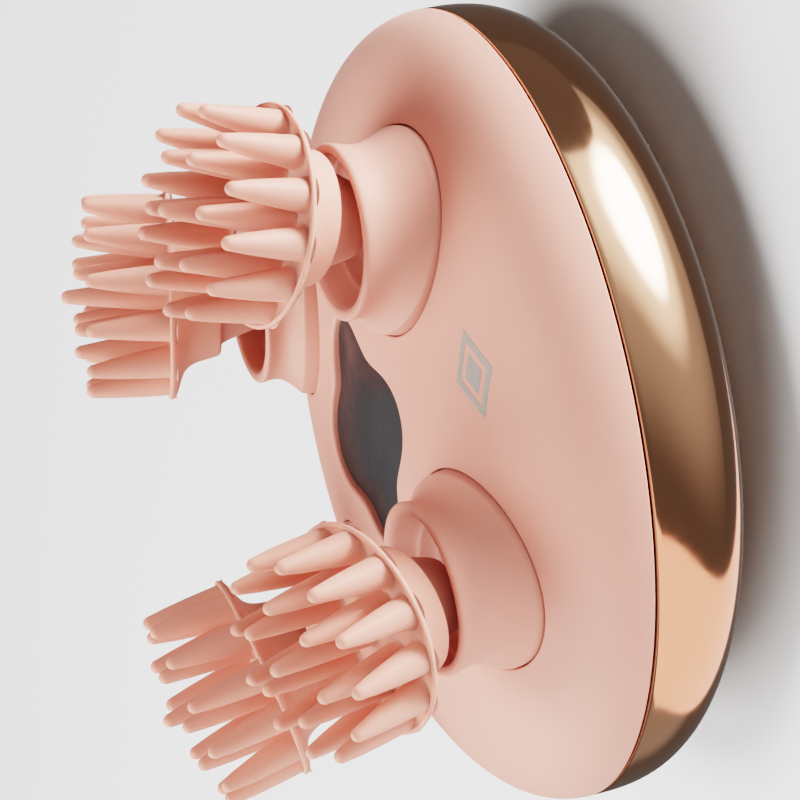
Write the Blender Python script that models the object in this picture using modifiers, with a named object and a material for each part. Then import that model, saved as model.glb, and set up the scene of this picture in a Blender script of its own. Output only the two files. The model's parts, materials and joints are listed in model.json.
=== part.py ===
"""Electric kneading scalp massager.

A round pebble-shaped body lies in the palm on its glossy back cover. Four silicone
massage heads stand out of flared collars on the front shell. Each head sits on the
inclined end of a spindle, so it wobbles round as the spindle turns. A central gear
turns all four spindles, and a motor under the gear plate turns the central gear.

Frame: +Z is the body's axis, from the back flat at z = 0 towards the heads. The
collars stand on the diagonals of X and Y. All lengths are in metres.
"""

import math

import bmesh
import bpy
from mathutils import Matrix, Vector

MM = 0.001
GAP = 0.3 * MM
TURN = 2 * math.pi

# Body: two superellipse shells that meet at the seam plane
BODY_RADIUS = 55 * MM
SEAM_Z = 22 * MM
FRONT_HEIGHT = 19.8 * MM
FRONT_POWER = 2.25
BACK_DEPTH = 22.5 * MM
BACK_POWER = 2.8
WALL = 2.2 * MM
SEAM_GAP = 0.36 * MM
REBATE_WALL = 1.0 * MM
REBATE_DEPTH = 0.8 * MM
BODY_STEPS = 32
SHELL_POINTS = 7

# Recess and window in the middle of the front shell
WINDOW_TOP = 40.4 * MM
WINDOW_RADIUS = 14.2 * MM
WINDOW_LOBE = 2.1 * MM
WINDOW_LOBES = 4
WINDOW_THICKNESS = 2.3 * MM
WINDOW_FLANGE = 1.4 * MM
WINDOW_FLANGE_THICKNESS = 0.9 * MM
WINDOW_STEPS = 28

# Collars on the diagonals. The mouth is a little higher and further out than the base.
CORNERS = 4
FIRST_CORNER = math.radians(45)
COLLAR_BASE_OUT = 33.0 * MM
COLLAR_BASE_TILT = math.radians(17)
COLLAR_BASE_RADIUS = 13.9 * MM
COLLAR_MOUTH_OUT = 34.3 * MM
COLLAR_MOUTH_TILT = math.radians(5)
COLLAR_MOUTH_Z = SEAM_Z + 24.2 * MM
COLLAR_STEPS = 14
COLLAR_HOLE_STEPS = 20
GROOVE_GAP = 0.3 * MM

# Drive axes and heads. The pivot is where the inclined head axis meets the drive axis.
DRIVE_OUT = 36.06 * MM
PIVOT_Z = SEAM_Z + 23.3 * MM
HEAD_TILT = math.radians(16.5)
RIM_DISTANCE = 11.6 * MM
HEAD_STEPS = 12
BRISTLE_SIDES = 4
BRISTLE_BASE_RADIUS = 2.35 * MM
BRISTLE_TIP_RADIUS = 0.85 * MM
BRISTLE_ROOT = 0.5 * MM
BRISTLE_RINGS = (
    # count, first angle, tip radius, tip height over the rim, outward lean
    (1, 0.0, 0.0, 14.8 * MM, 0.0),
    (6, 0.0, 7.9 * MM, 13.1 * MM, math.radians(3)),
    (12, math.radians(15), 13.6 * MM, 11.6 * MM, math.radians(7.5)),
)
SPINDLE_RADIUS = 2.2 * MM
SPINDLE_FOOT_Z = 20.0 * MM
SPINDLE_REACH = 8.0 * MM
SPINDLE_HOLE_RADIUS = 3.4 * MM
DISH_FLOOR_Z = PIVOT_Z - 5.6 * MM
DISH_FLOOR_THICKNESS = 1.5 * MM

# Gear train: spur gears in one plane, driven from the motor by way of the central gear
CENTRAL_TEETH = 56
OUTPUT_TEETH = 16
PINION_TEETH = 10
GEAR_BOTTOM = 20.6 * MM
GEAR_TOP = 24.6 * MM
MODULE = 2 * DRIVE_OUT / (CENTRAL_TEETH + OUTPUT_TEETH)
PINION_OUT = MODULE * (CENTRAL_TEETH + PINION_TEETH) / 2
AXLE_RADIUS = 2.5 * MM

# Chassis and gearbox cover
CHASSIS_BOTTOM = 17.8 * MM
CHASSIS_TOP = 19.6 * MM
CHASSIS_RADIUS = 50.5 * MM
CHASSIS_RIB = 1.2 * MM
COVER_BOTTOM = 25.8 * MM
COVER_TOP = 27.4 * MM
COVER_RADIUS = 42.4 * MM
POST_OUT = 40.0 * MM
POST_ANGLE = math.radians(20)
POST_RADIUS = 2.6 * MM
BOSS_OUT = 45.8 * MM
BOSS_RADIUS = 3.0 * MM
BOSS_FOOT_Z = 20.2 * MM
BOSS_HOLE_DEPTH = 7.0 * MM
BEARING_RADIUS = 4.4 * MM
BEARING_BOTTOM = 28.0 * MM
BEARING_TOP = 31.0 * MM
BEARING_WALL = 1.3 * MM
SEAL_RADIUS = 5.4 * MM
SCREW_RADIUS = 1.1 * MM
SCREW_HEAD_RADIUS = 2.1 * MM
SCREW_HEAD = 1.2 * MM
COVER_SCREW_LENGTH = 6.0 * MM
CHASSIS_SCREW_LENGTH = 8.0 * MM
HOLE_STEPS = 6
# Keeps the corners of pegs off the edges of the turned pieces that they meet
PEG_TURN = math.radians(7)

# Motor, battery and boards
MOTOR_RADIUS = 7.4 * MM
MOTOR_BOTTOM = 8.0 * MM
MOTOR_TOP = 17.4 * MM
MOTOR_SHAFT_RADIUS = 1.0 * MM
BATTERY_SIZE = Vector((34, 46, 7.0)) * MM
BATTERY_CENTRE = Vector((-4.5, 0, 13.3)) * MM
TRAY_WALL = 1.1 * MM
BOARD_BOTTOM = 6.6 * MM
BOARD_SIZE = Vector((38, 34, 1.0)) * MM
SWITCH_SIZE = Vector((6, 6, 1.6)) * MM
LIGHT_BOARD_Z = 34.3 * MM
LIGHT_BOARD_RADIUS = 12.2 * MM

# Power button in the middle of the back flat
BUTTON_HOLE_RADIUS = 7.6 * MM
BUTTON_RADIUS = 7.2 * MM
BUTTON_RECESS = 0.9 * MM
BUTTON_FLANGE_TOP = 3.3 * MM
BUTTON_STEM_TOP = 3.8 * MM

# Charging port in the back cover's -X side
PORT_WIDTH = 10.4 * MM
PORT_BOTTOM = 12.4 * MM
PORT_TOP = 16.4 * MM
FLAP_THICKNESS = 1.3 * MM
SOCKET_SIZE = Vector((6.6, 8.6, 3.0)) * MM
CHARGING_BOARD_SIZE = Vector((11, 14, 1.0)) * MM


def clear_scene():
    for obj in list(bpy.data.objects):
        bpy.data.objects.remove(obj, do_unlink=True)


def make_collection(name):
    collection = bpy.data.collections.new(name)
    bpy.context.scene.collection.children.link(collection)
    return collection


def make_material(name, color, roughness, metallic=0.0):
    material = bpy.data.materials.new(name)
    material.use_nodes = True
    shader = material.node_tree.nodes["Principled BSDF"]
    shader.inputs["Base Color"].default_value = (*color, 1.0)
    shader.inputs["Roughness"].default_value = roughness
    shader.inputs["Metallic"].default_value = metallic
    return material


clear_scene()
PARTS = make_collection("scalp_massager")
CUTTERS = make_collection("cutters")

PINK_PLASTIC = make_material("pink_plastic", (0.66, 0.38, 0.31), 0.45)
PINK_SILICONE = make_material("pink_silicone", (0.72, 0.43, 0.35), 0.5)
ROSE_GOLD = make_material("rose_gold", (0.82, 0.50, 0.36), 0.15, 1.0)
SMOKED_PLASTIC = make_material("smoked_plastic", (0.07, 0.07, 0.07), 0.15)
DARK_RUBBER = make_material("dark_rubber", (0.03, 0.02, 0.02), 0.7)
GRAY_PLASTIC = make_material("gray_plastic", (0.25, 0.25, 0.26), 0.5)
WHITE_ACETAL = make_material("white_acetal", (0.8, 0.8, 0.76), 0.4)
STEEL = make_material("steel", (0.55, 0.55, 0.56), 0.3, 1.0)
BATTERY_WRAP = make_material("battery_wrap", (0.08, 0.16, 0.35), 0.4)
BOARD_GREEN = make_material("board_green", (0.03, 0.2, 0.08), 0.5)


# Building blocks -------------------------------------------------------------


def add_object(name, mesh, material=None, collection=None):
    obj = bpy.data.objects.new(name, mesh)
    (collection or PARTS).objects.link(obj)
    if material:
        mesh.materials.append(material)
    return obj


def smooth(mesh):
    mesh.shade_smooth()
    mesh.set_sharp_from_angle(angle=math.radians(35))


def mesh_from(bm, name):
    bmesh.ops.recalc_face_normals(bm, faces=bm.faces)
    mesh = bpy.data.meshes.new(name)
    bm.to_mesh(mesh)
    bm.free()
    smooth(mesh)
    return mesh


def evaluated_mesh(obj):
    bpy.context.view_layer.update()
    graph = bpy.context.evaluated_depsgraph_get()
    return bpy.data.meshes.new_from_object(obj.evaluated_get(graph))


def applied(obj):
    """Replaces an object's mesh by its evaluated one, and drops its modifiers."""
    mesh = evaluated_mesh(obj)
    obj.modifiers.clear()
    obj.data = mesh
    return obj


def turned(name, profile, steps, material=None, collection=None):
    """A profile of (radius, height) points turned about Z. It runs from the top down
    on its outer side, and closes on itself unless both of its ends are on the axis."""
    on_axis = profile[0][0] == 0 and profile[-1][0] == 0
    mesh = bpy.data.meshes.new(name)
    count = len(profile)
    edges = [(i, i + 1) for i in range(count - 1)]
    if not on_axis:
        edges.append((count - 1, 0))
    mesh.from_pydata([(radius, 0, height) for radius, height in profile], edges, [])
    obj = add_object(name, mesh, material, collection)
    screw = obj.modifiers.new("turn", "SCREW")
    screw.steps = steps
    screw.render_steps = steps
    screw.use_merge_vertices = True
    screw.merge_threshold = 0.00001
    applied(obj)
    smooth(obj.data)
    return obj


def tube_profile(outer, inner, bottom, top):
    return [(inner, top), (outer, top), (outer, bottom), (inner, bottom)]


def cylinder(name, radius, bottom, top, steps, material=None, centre=(0, 0), collection=None):
    bm = bmesh.new()
    bmesh.ops.create_cone(
        bm,
        cap_ends=True,
        segments=steps,
        radius1=radius,
        radius2=radius,
        depth=top - bottom,
        matrix=Matrix.Translation((*centre, (bottom + top) / 2)) @ Matrix.Rotation(PEG_TURN, 4, "Z"),
    )
    return add_object(name, mesh_from(bm, name), material, collection)


def peg(radius, bottom, top, centre=(0, 0), steps=HOLE_STEPS):
    """An upright cylinder that is cut out of a part, or joined to it."""
    return cylinder("peg", radius, bottom, top, steps, centre=centre, collection=CUTTERS)


def box(name, size, centre, bevel=0.0, material=None, collection=None):
    bm = bmesh.new()
    place = Matrix.Translation(centre) @ Matrix.Diagonal((*size, 1))
    bmesh.ops.create_cube(bm, size=1, matrix=place)
    if bevel:
        bmesh.ops.bevel(bm, geom=bm.edges, offset=bevel, segments=1, affect="EDGES")
    return add_object(name, mesh_from(bm, name), material, collection)


def combine(obj, others, operation):
    """Cuts each of the others out of the object, or joins it, and removes it."""
    for other in others:
        other.hide_render = True
        other.display_type = "WIRE"
        modifier = obj.modifiers.new(other.name, "BOOLEAN")
        modifier.operation = operation
        modifier.object = other
        applied(obj)
        bpy.data.objects.remove(other, do_unlink=True)
    smooth(obj.data)
    return obj


def cut(obj, *cutters):
    return combine(obj, cutters, "DIFFERENCE")


def join(obj, *others):
    return combine(obj, others, "UNION")


def lofted(name, rings, material=None, collection=None, closed=False):
    """Joins rings of equally many points by quads. Its ends are capped, or, if it is
    closed, the last ring is joined to the first, as in a bent tube wall."""
    bm = bmesh.new()
    loops = [[bm.verts.new(point) for point in ring] for ring in rings]
    pairs = list(zip(loops, loops[1:]))
    if closed:
        pairs.append((loops[-1], loops[0]))
    for low, high in pairs:
        for i in range(len(low)):
            j = (i + 1) % len(low)
            bm.faces.new((low[i], low[j], high[j], high[i]))
    if not closed:
        bm.faces.new(loops[0][::-1])
        bm.faces.new(loops[-1])
    return add_object(name, mesh_from(bm, name), material, collection)


def bent_wire(name, points, radius, sides, material):
    """A round wire through the points, with closed ends, as a mesh."""
    curve = bpy.data.curves.new(name, "CURVE")
    curve.dimensions = "3D"
    curve.bevel_depth = radius
    curve.bevel_resolution = sides
    curve.use_fill_caps = True
    spline = curve.splines.new("POLY")
    spline.points.add(len(points) - 1)
    for point, place in zip(spline.points, points):
        point.co = (*place, 1)
    wire = bpy.data.objects.new("wire", curve)
    CUTTERS.objects.link(wire)
    mesh = evaluated_mesh(wire)
    bpy.data.objects.remove(wire, do_unlink=True)
    bm = bmesh.new()
    bm.from_mesh(mesh)
    bmesh.ops.remove_doubles(bm, verts=bm.verts, dist=0.00001)
    return add_object(name, mesh_from(bm, name), material)


def four_of(first):
    """The piece named NAME_1, and three more that share its mesh."""
    yield first
    for i in range(1, CORNERS):
        yield add_object(f"{first.name[:-2]}_{i + 1}", first.data)


def around(out, angle):
    return (out * math.cos(angle), out * math.sin(angle))


def corner_angle(index):
    return FIRST_CORNER + index * TURN / CORNERS


def place_at_corner(obj, index):
    """Parts of a corner are built with +X outward and the drive axis at the origin."""
    angle = corner_angle(index)
    obj.location = (*around(DRIVE_OUT, angle), 0)
    obj.rotation_euler.z = angle
    return obj


# Body curves -----------------------------------------------------------------


def shell_radius(rise, radius, height, power):
    """Radius of a half superellipse at a height over (or under) its widest plane."""
    return radius * (1 - min(rise / height, 1) ** power) ** (1 / power)


def dome_height(out):
    """Height of the front shell's outer surface over the seam plane."""
    return FRONT_HEIGHT * (1 - min(out / BODY_RADIUS, 1) ** FRONT_POWER) ** (1 / FRONT_POWER)


COLLAR_BASE_Z = SEAM_Z + dome_height(COLLAR_BASE_OUT)


def half_shell(radius, height, power, sign):
    """Points from the pole towards the widest plane, closer together where it bends."""
    points = []
    for i in range(SHELL_POINTS):
        angle = math.pi / 2 * (1 - i / SHELL_POINTS)
        rise = height * math.sin(angle) ** (2 / power)
        out = radius * math.cos(angle) ** (2 / power) if i else 0.0
        points.append((out, SEAM_Z + sign * rise))
    return points


def lobed_outline(offset, height):
    points = []
    for i in range(WINDOW_STEPS):
        angle = TURN * i / WINDOW_STEPS
        radius = WINDOW_RADIUS + WINDOW_LOBE * math.cos(WINDOW_LOBES * angle) + offset
        points.append(Vector((*around(radius, angle), height)))
    return points


def tilted_ring(out, height, tilt, radius, steps=COLLAR_STEPS):
    """A circle tilted outward, in a corner's own frame. Its centre is given by its
    distance from the body's axis and its height."""
    normal = Vector((math.sin(tilt), 0, math.cos(tilt)))
    outward = Vector((math.cos(tilt), 0, -math.sin(tilt)))
    sideways = normal.cross(outward)
    centre = Vector((out - DRIVE_OUT, 0, height))
    ring = []
    for i in range(steps):
        angle = TURN * i / steps
        ring.append(centre + radius * (math.cos(angle) * outward + math.sin(angle) * sideways))
    return ring


# Shells ----------------------------------------------------------------------


def collar_hole_cutter(index):
    radius = COLLAR_BASE_RADIUS + GROOVE_GAP
    rings = []
    for along in (-9 * MM, 9 * MM):
        out = COLLAR_BASE_OUT + along * math.sin(COLLAR_BASE_TILT)
        height = COLLAR_BASE_Z + along * math.cos(COLLAR_BASE_TILT)
        rings.append(tilted_ring(out, height, COLLAR_BASE_TILT, radius, COLLAR_HOLE_STEPS))
    return place_at_corner(lofted("collar_hole", rings, collection=CUTTERS), index)


def build_front_shell():
    rim = SEAM_Z + SEAM_GAP / 2
    inner_radius = BODY_RADIUS - WALL
    outer = half_shell(BODY_RADIUS, FRONT_HEIGHT, FRONT_POWER, 1)
    inner = half_shell(inner_radius, FRONT_HEIGHT - WALL, FRONT_POWER, 1)
    rim_points = [
        (BODY_RADIUS, rim),
        (BODY_RADIUS - REBATE_WALL, rim),
        (BODY_RADIUS - REBATE_WALL, rim + REBATE_DEPTH),
        (inner_radius, rim + REBATE_DEPTH),
    ]
    shell = turned("front_shell", outer + rim_points + inner[::-1], BODY_STEPS, PINK_PLASTIC)
    opening = [lobed_outline(0, height) for height in (WINDOW_TOP - 6 * MM, WINDOW_TOP + 6 * MM)]
    cut(shell, lofted("window_opening", opening, collection=CUTTERS))
    cut(shell, *[collar_hole_cutter(i) for i in range(CORNERS)])
    boss_top = SEAM_Z + dome_height(BOSS_OUT + BOSS_RADIUS) - WALL / 3
    for i in range(CORNERS):
        centre = boss_centre(i)
        join(shell, peg(BOSS_RADIUS, BOSS_FOOT_Z, boss_top, centre, 8))
        hole_top = BOSS_FOOT_Z + BOSS_HOLE_DEPTH
        cut(shell, peg(SCREW_RADIUS + GAP, BOSS_FOOT_Z - MM, hole_top, centre))
    return shell


def build_back_cover():
    rim = SEAM_Z - SEAM_GAP / 2
    inner_radius = BODY_RADIUS - WALL
    inner_depth = BACK_DEPTH - WALL
    outer_flat = shell_radius(SEAM_Z, BODY_RADIUS, BACK_DEPTH, BACK_POWER)
    inner_flat = shell_radius(SEAM_Z - WALL, inner_radius, inner_depth, BACK_POWER)
    outer_curve = half_shell(BODY_RADIUS, BACK_DEPTH, BACK_POWER, -1)
    inner_curve = half_shell(inner_radius, inner_depth, BACK_POWER, -1)
    outer = [(0.0, 0.0), (outer_flat, 0.0)]
    outer += [point for point in outer_curve if point[0] > outer_flat + MM]
    inner = [(0.0, WALL), (inner_flat, WALL)]
    inner += [point for point in inner_curve if point[0] > inner_flat + MM]
    rim_points = [
        (inner_radius, rim - REBATE_DEPTH),
        (BODY_RADIUS - REBATE_WALL, rim - REBATE_DEPTH),
        (BODY_RADIUS - REBATE_WALL, rim),
        (BODY_RADIUS, rim),
    ]
    cover = turned("back_cover", inner + rim_points + outer[::-1], BODY_STEPS, ROSE_GOLD)
    port_size = (14 * MM, PORT_WIDTH, PORT_TOP - PORT_BOTTOM)
    port_centre = (port_outside(), 0, (PORT_TOP + PORT_BOTTOM) / 2)
    port = box("port_opening", port_size, port_centre, collection=CUTTERS)
    return cut(cover, peg(BUTTON_HOLE_RADIUS, -MM, WALL + MM, steps=24), port)


def build_seam_gasket():
    outer = BODY_RADIUS - REBATE_WALL - GAP
    inner = BODY_RADIUS - WALL + 0.1 * MM
    half = SEAM_GAP / 2 + REBATE_DEPTH - GAP
    profile = tube_profile(outer, inner, SEAM_Z - half, SEAM_Z + half)
    return turned("seam_gasket", profile, BODY_STEPS, DARK_RUBBER)


def build_window():
    """A lobed panel that fills the shell's opening, with a lobed flange behind it."""
    flange_top = SEAM_Z + FRONT_HEIGHT - WALL - 1.4 * MM
    flange_bottom = flange_top - WINDOW_FLANGE_THICKNESS
    panel_heights = (WINDOW_TOP - WINDOW_THICKNESS, WINDOW_TOP)
    panel = [lobed_outline(-GAP, height) for height in panel_heights]
    flange = [lobed_outline(WINDOW_FLANGE, height) for height in (flange_bottom, flange_top)]
    window = lofted("center_window", panel, SMOKED_PLASTIC)
    return join(window, lofted("window_flange", flange, collection=CUTTERS))


# Collars ---------------------------------------------------------------------


def outer_ring(share, radius, offset=0.0):
    """share runs from 0 at the collar's base plane to 1 at its mouth plane. The
    offset is along the ring's own normal."""
    tilt = COLLAR_BASE_TILT + share * (COLLAR_MOUTH_TILT - COLLAR_BASE_TILT)
    out = COLLAR_BASE_OUT + share * (COLLAR_MOUTH_OUT - COLLAR_BASE_OUT)
    height = COLLAR_BASE_Z + share * (COLLAR_MOUTH_Z - COLLAR_BASE_Z)
    out += offset * MM * math.sin(tilt)
    height += offset * MM * math.cos(tilt)
    return tilted_ring(out, height, tilt, radius * MM)


def dish_ring(share, radius):
    """share runs from 0 at the mouth plane to 1 at the floor round the spindle."""
    out = COLLAR_MOUTH_OUT + share * (DRIVE_OUT - COLLAR_MOUTH_OUT)
    height = COLLAR_MOUTH_Z + share * (DISH_FLOOR_Z - COLLAR_MOUTH_Z)
    return tilted_ring(out, height, COLLAR_MOUTH_TILT * (1 - share), radius * MM)


def build_collars():
    """One wall: up the outside, over the lip, down the dish, and back under it."""
    spindle_hole = SPINDLE_HOLE_RADIUS / MM
    floor_bottom = DISH_FLOOR_Z - DISH_FLOOR_THICKNESS
    outside = [
        outer_ring(0, 15.0, -5.4),
        outer_ring(0, 15.0, -4.4),
        outer_ring(0, 13.6, -4.4),
        outer_ring(0, 13.6, 0.6),
        outer_ring(0.24, 12.9),
        outer_ring(0.42, 11.7),
        outer_ring(0.70, 11.3),
        outer_ring(0.95, 11.7),
    ]
    mouth_and_dish = [
        outer_ring(1.0, 11.3),
        dish_ring(0.06, 10.6),
        dish_ring(0.50, 9.4),
        dish_ring(0.85, 7.2),
        dish_ring(1.0, 5.6),
        dish_ring(1.0, spindle_hole),
    ]
    under = [
        tilted_ring(DRIVE_OUT, floor_bottom, 0, SPINDLE_HOLE_RADIUS),
        tilted_ring(DRIVE_OUT, floor_bottom, 0, 6.0 * MM),
        outer_ring(0.14, 10.2),
        outer_ring(0, 12.4, -1.2),
        outer_ring(0, 12.4, -5.4),
    ]
    rings = outside + mouth_and_dish + under
    collar = lofted("neck_collar_1", rings, PINK_PLASTIC, closed=True)
    for i, piece in enumerate(four_of(collar)):
        place_at_corner(piece, i)


# Heads -----------------------------------------------------------------------


def head_place():
    """From the head's own axis, with the pivot as its origin, to the corner's frame."""
    return Matrix.Translation((0, 0, PIVOT_Z)) @ Matrix.Rotation(HEAD_TILT, 4, "Y")


def add_bristle(bm, angle, tip_radius, tip_height, lean):
    """A cone with a blunt point. Its foot is a little inside the disc."""
    tip = Vector((tip_radius, 0, RIM_DISTANCE + tip_height))
    turn = Matrix.Rotation(angle, 4, "Z")
    place = turn @ Matrix.Translation(tip) @ Matrix.Rotation(lean, 4, "Y")
    length = (tip_height + BRISTLE_ROOT) / math.cos(lean) - BRISTLE_TIP_RADIUS
    centre = Matrix.Translation((0, 0, -BRISTLE_TIP_RADIUS - length / 2))
    cone = bmesh.ops.create_cone(
        bm,
        cap_ends=True,
        segments=BRISTLE_SIDES,
        radius1=BRISTLE_BASE_RADIUS,
        radius2=BRISTLE_TIP_RADIUS,
        depth=length,
        matrix=place @ centre,
    )
    highest = max(cone["verts"], key=lambda vert: vert.co.z)
    cap = max(highest.link_faces, key=lambda face: face.calc_center_median().z)
    point = bmesh.ops.poke(bm, faces=[cap])["verts"][0]
    point.co = place.translation


def build_bristles():
    bm = bmesh.new()
    for count, first_angle, tip_radius, tip_height, lean in BRISTLE_RINGS:
        for i in range(count):
            add_bristle(bm, first_angle + TURN * i / count, tip_radius, tip_height, lean)
    return add_object("bristles", mesh_from(bm, "bristles"), collection=CUTTERS)


def below_rim(points):
    """Radii, and distances below the rim, in millimetres, as a head's profile."""
    return [(radius * MM, RIM_DISTANCE - drop * MM) for radius, drop in points]


def build_head():
    """A silicone disc with a raised rim, a bowl behind it and a skirt over the hub."""
    profile = below_rim(
        [
            (0, 0.35),
            (14.0, 0.35),
            (14.6, 0),
            (14.9, 0.5),
            (13.4, 1.5),
            (10.8, 2.4),
            (9.6, 4.2),
            (8.6, 7.5),
            (7.6, 7.5),
            (7.6, 1.8),
            (0, 1.8),
        ]
    )
    head = turned("massage_head_1", profile, HEAD_STEPS, PINK_SILICONE)
    join(head, build_bristles())
    head.data.transform(head_place())
    return head


def build_hub():
    """A rigid cup inside the skirt. Its neck reaches into the dish and hides the spindle.
    The bore is blind, and wide at its mouth, where the spindle bends."""
    bore = SPINDLE_RADIUS + GAP
    mouth = 3.3 * MM
    outside = below_rim([(0, 2.1), (7.3, 2.1), (7.3, 7.2), (6.6, 8.6), (5.2, 12.6), (4.7, 13.2)])
    foot = RIM_DISTANCE - 13.2 * MM
    bend = RIM_DISTANCE - 10.4 * MM
    inside = [(mouth, foot), (mouth, bend), (bore, bend + 0.6 * MM)]
    inside += [(bore, SPINDLE_REACH + GAP), (0, SPINDLE_REACH + GAP)]
    hub = turned("head_hub_1", outside + inside, HEAD_STEPS, PINK_PLASTIC)
    hub.data.transform(head_place())
    return hub


def build_spindle():
    """A rod, straight through the gear and bearing, with its end inclined."""
    pivot = Vector((0, 0, PIVOT_Z))
    end = head_place() @ Vector((0, 0, SPINDLE_REACH))
    points = [
        Vector((0, 0, SPINDLE_FOOT_Z)),
        pivot - Vector((0, 0, MM)),
        pivot.lerp(end, 0.12),
        end,
    ]
    return bent_wire("drive_spindle_1", points, SPINDLE_RADIUS, 2, STEEL)


def build_driven_parts():
    """What turns about each drive axis, parented to an empty on that axis."""
    drives = []
    for i in range(CORNERS):
        drive = bpy.data.objects.new(f"head_drive_{i + 1}", None)
        PARTS.objects.link(drive)
        drives.append(place_at_corner(drive, i))
    for first in (build_head(), build_hub(), build_spindle(), build_output_gear()):
        for drive, piece in zip(drives, four_of(first)):
            piece.parent = drive


# Gears -----------------------------------------------------------------------


def build_gear(name, teeth, first_angle, bore, material):
    """A spur gear with a tooth centred on the first angle, and with backlash."""
    pitch = MODULE * teeth / 2
    tip = pitch + 0.9 * MODULE
    root = pitch - 1.15 * MODULE
    step = TURN / teeth
    tooth = ((root, -0.30), (tip, -0.12), (tip, 0.12), (root, 0.30))
    outline = []
    for i in range(teeth):
        for radius, share in tooth:
            outline.append(around(radius, first_angle + (i + share) * step))
    rings = [[Vector((*point, height)) for point in outline] for height in (GEAR_BOTTOM, GEAR_TOP)]
    gear = lofted(name, rings, material)
    if bore:
        cut(gear, peg(bore, GEAR_BOTTOM - MM, GEAR_TOP + MM, steps=8))
    return gear


def facing_space(teeth):
    """First angle that turns the space between two teeth towards -X."""
    return math.pi + TURN / teeth / 2


def build_output_gear():
    """Built for the corner's frame, where the central gear is towards -X."""
    first_angle = facing_space(OUTPUT_TEETH)
    bore = SPINDLE_RADIUS + GAP
    return build_gear("output_gear_1", OUTPUT_TEETH, first_angle, bore, WHITE_ACETAL)


def build_central_gear():
    """It shows a tooth to all four corners, and to the pinion on +X."""
    bore = AXLE_RADIUS + GAP
    return build_gear("central_gear", CENTRAL_TEETH, FIRST_CORNER, bore, WHITE_ACETAL)


def build_motor_pinion():
    pinion = build_gear("motor_pinion", PINION_TEETH, facing_space(PINION_TEETH), 0, STEEL)
    join(pinion, peg(MOTOR_SHAFT_RADIUS, MOTOR_TOP - 3 * MM, GEAR_TOP - MM))
    pinion.location.x = PINION_OUT
    return pinion


def build_central_axle():
    head_radius = AXLE_RADIUS + 0.9 * MM
    head_bottom = COVER_TOP + GAP
    head_top = head_bottom + 1.3 * MM
    foot = CHASSIS_BOTTOM + 0.2 * MM
    profile = [
        (0, head_top),
        (head_radius, head_top),
        (head_radius, head_bottom),
        (AXLE_RADIUS, head_bottom),
        (AXLE_RADIUS, foot),
        (0, foot),
    ]
    return turned("central_axle", profile, 14, STEEL)


# Chassis and gearbox cover ---------------------------------------------------


def post_centre(index):
    return around(POST_OUT, POST_ANGLE + TURN * index / CORNERS)


def boss_centre(index):
    return around(BOSS_OUT, TURN * index / CORNERS)


def build_chassis():
    """A round plate with a raised edge, four posts for the gearbox cover, and holes
    for the axle, the motor's shaft and the screws."""
    low = CHASSIS_BOTTOM - MM
    high = CHASSIS_TOP + MM
    hole = SCREW_RADIUS + GAP
    profile = [
        (0, CHASSIS_TOP),
        (CHASSIS_RADIUS - CHASSIS_RIB, CHASSIS_TOP),
        (CHASSIS_RADIUS - CHASSIS_RIB, CHASSIS_TOP + CHASSIS_RIB),
        (CHASSIS_RADIUS, CHASSIS_TOP + CHASSIS_RIB),
        (CHASSIS_RADIUS, CHASSIS_BOTTOM),
        (0, CHASSIS_BOTTOM),
    ]
    chassis = turned("chassis", profile, 28, GRAY_PLASTIC)
    for i in range(CORNERS):
        post = post_centre(i)
        join(chassis, peg(POST_RADIUS, CHASSIS_TOP - 0.5 * MM, COVER_BOTTOM - GAP, post, 8))
        cut(chassis, peg(hole, CHASSIS_TOP, COVER_BOTTOM + MM, post))
        cut(chassis, peg(hole, low, high, boss_centre(i)))
    cut(chassis, peg(AXLE_RADIUS + GAP, low, high, steps=14))
    return cut(chassis, peg(MOTOR_SHAFT_RADIUS + MM, low, high, (PINION_OUT, 0)))


def build_gearbox_cover():
    """A plate over the gears, with a seat for each spindle's bearing."""
    seat_radius = BEARING_RADIUS + GAP + BEARING_WALL
    low = COVER_BOTTOM - MM
    cover = cylinder("gearbox_cover", COVER_RADIUS, COVER_BOTTOM, COVER_TOP, 28, GRAY_PLASTIC)
    for i in range(CORNERS):
        centre = around(DRIVE_OUT, corner_angle(i))
        join(cover, peg(seat_radius, COVER_TOP - 0.6 * MM, BEARING_TOP, centre, 12))
        cut(cover, peg(BEARING_RADIUS + GAP, BEARING_BOTTOM - GAP, BEARING_TOP + MM, centre, 10))
        cut(cover, peg(SPINDLE_RADIUS + MM, low, BEARING_BOTTOM, centre, 8))
        cut(cover, peg(SCREW_RADIUS + GAP, low, COVER_TOP + MM, post_centre(i)))
    return cut(cover, peg(AXLE_RADIUS + GAP, low, COVER_TOP + MM, steps=14))


def build_bearings_and_seals():
    inner = SPINDLE_RADIUS + GAP
    bearing_profile = tube_profile(BEARING_RADIUS, inner, BEARING_BOTTOM, BEARING_TOP - GAP)
    seal_top = DISH_FLOOR_Z - DISH_FLOOR_THICKNESS - GAP
    seal_profile = [
        (inner, seal_top),
        (SEAL_RADIUS, seal_top),
        (SEAL_RADIUS, seal_top - 1.4 * MM),
        (inner, seal_top - 0.9 * MM),
    ]
    bearing = turned("spindle_bearing_1", bearing_profile, 12, STEEL)
    seal = turned("spindle_seal_1", seal_profile, 12, DARK_RUBBER)
    for first in (bearing, seal):
        for i, piece in enumerate(four_of(first)):
            place_at_corner(piece, i)


def build_screw(name, length):
    """A screw with its head above z = 0 and its shank below."""
    profile = [
        (0, SCREW_HEAD),
        (SCREW_HEAD_RADIUS - 0.4 * MM, SCREW_HEAD),
        (SCREW_HEAD_RADIUS, SCREW_HEAD - 0.4 * MM),
        (SCREW_HEAD_RADIUS, 0),
        (SCREW_RADIUS, 0),
        (SCREW_RADIUS, -length),
        (0, -length),
    ]
    return turned(name, profile, HOLE_STEPS, STEEL)


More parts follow.
